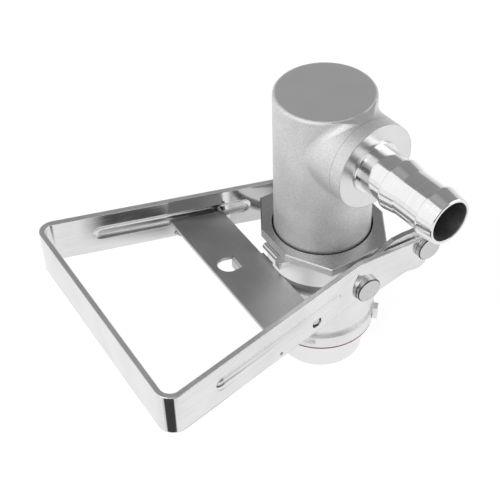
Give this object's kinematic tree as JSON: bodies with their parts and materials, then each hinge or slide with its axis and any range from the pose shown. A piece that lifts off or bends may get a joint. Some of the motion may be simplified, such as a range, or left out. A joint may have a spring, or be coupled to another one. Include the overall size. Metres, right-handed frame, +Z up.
{
  "type": "diesel exhaust fluid drum coupler",
  "caption": "Drum coupler: swivelling outlet elbow with barbed hose tail, lifted in a fixed head by a U-shaped lever handle with a sprung latch plate.",
  "frame": {"origin": "centre of the sealing face, on the axis of the nose that enters the drum valve", "axes": "+Z up along the outlet body's axis, handle towards -X, +Y to the handle's far side"},
  "size_m": [0.191, 0.1666, 0.1838],
  "materials": {
    "bead_blasted_steel": "bead-blasted casting",
    "turned_steel": "bright turned",
    "black_rubber": "matt",
    "white_plastic": "satin",
    "bronze": "machined",
    "machined_steel": "fine machined",
    "satin_steel": "satin",
    "red_rubber": "matt",
    "fastener_steel": "bright",
    "pin_steel": "satin turned",
    "polished_steel": "polished with brushed edges",
    "bush_steel": "dark",
    "spring_steel": "drawn wire",
    "latch_steel": "satin rolled"
  },
  "bodies": {
    "head": {"top_flange": "machined_steel", "wiper_ring": "black_rubber", "guide_bush": "white_plastic", "barrel": "satin_steel", "bayonet_ring": "satin_steel", "index_lug": "satin_steel", "nose_sleeve": "turned_steel", "nose_seals": "black_rubber", "face_gasket": "red_rubber", "ear_plate_near": "machined_steel", "ear_plate_far": "machined_steel", "ear_screws": "fastener_steel", "catch_rod": "fastener_steel", "pivot_pin_near": "pin_steel", "pivot_pin_far": "pin_steel", "pivot_washers": "fastener_steel", "pivot_nuts": "fastener_steel"},
    "handle": {"handle": "polished_steel", "drive_pin_near": "pin_steel", "drive_pin_far": "pin_steel", "drive_pin_clips": "fastener_steel", "latch_rod": "fastener_steel", "latch_bushes": "bush_steel", "latch_springs": "spring_steel"},
    "latch": {"latch_plate": "latch_steel"},
    "carrier": {"drive_ring_near": "bronze", "drive_ring_far": "bronze"},
    "outlet": {"outlet_body": "bead_blasted_steel", "hose_tail": "turned_steel", "port_seal": "black_rubber", "probe_tube": "turned_steel", "probe_tip": "white_plastic"}
  },
  "joints": [
    {"name": "handle_pivot", "type": "hinge", "parent": "head", "child": "handle", "pos_m": [0.04, 0, 0.065], "axis": [0, 1, 0], "range_deg": [0, 12.5]},
    {"name": "latch_hinge", "type": "hinge", "parent": "handle", "child": "latch", "pos_m": [-0.0377, 0, 0.0559], "axis": [0, 1, 0], "range_deg": [0, 14], "stiffness_Nm_per_rad": 0.3},
    {"name": "body_slide", "type": "slide", "parent": "head", "child": "carrier", "axis": [0, 0, 1], "range_m": [0, 0.00891]},
    {"name": "outlet_swivel", "type": "hinge", "parent": "carrier", "child": "outlet", "pos_m": [0, 0, 0.0545], "axis": [0, 0, 1], "continuous": true}
  ],
  "couplings": [
    {"joint": "body_slide", "follows": "handle_pivot", "m_per_rad": 0.04083}
  ]
}
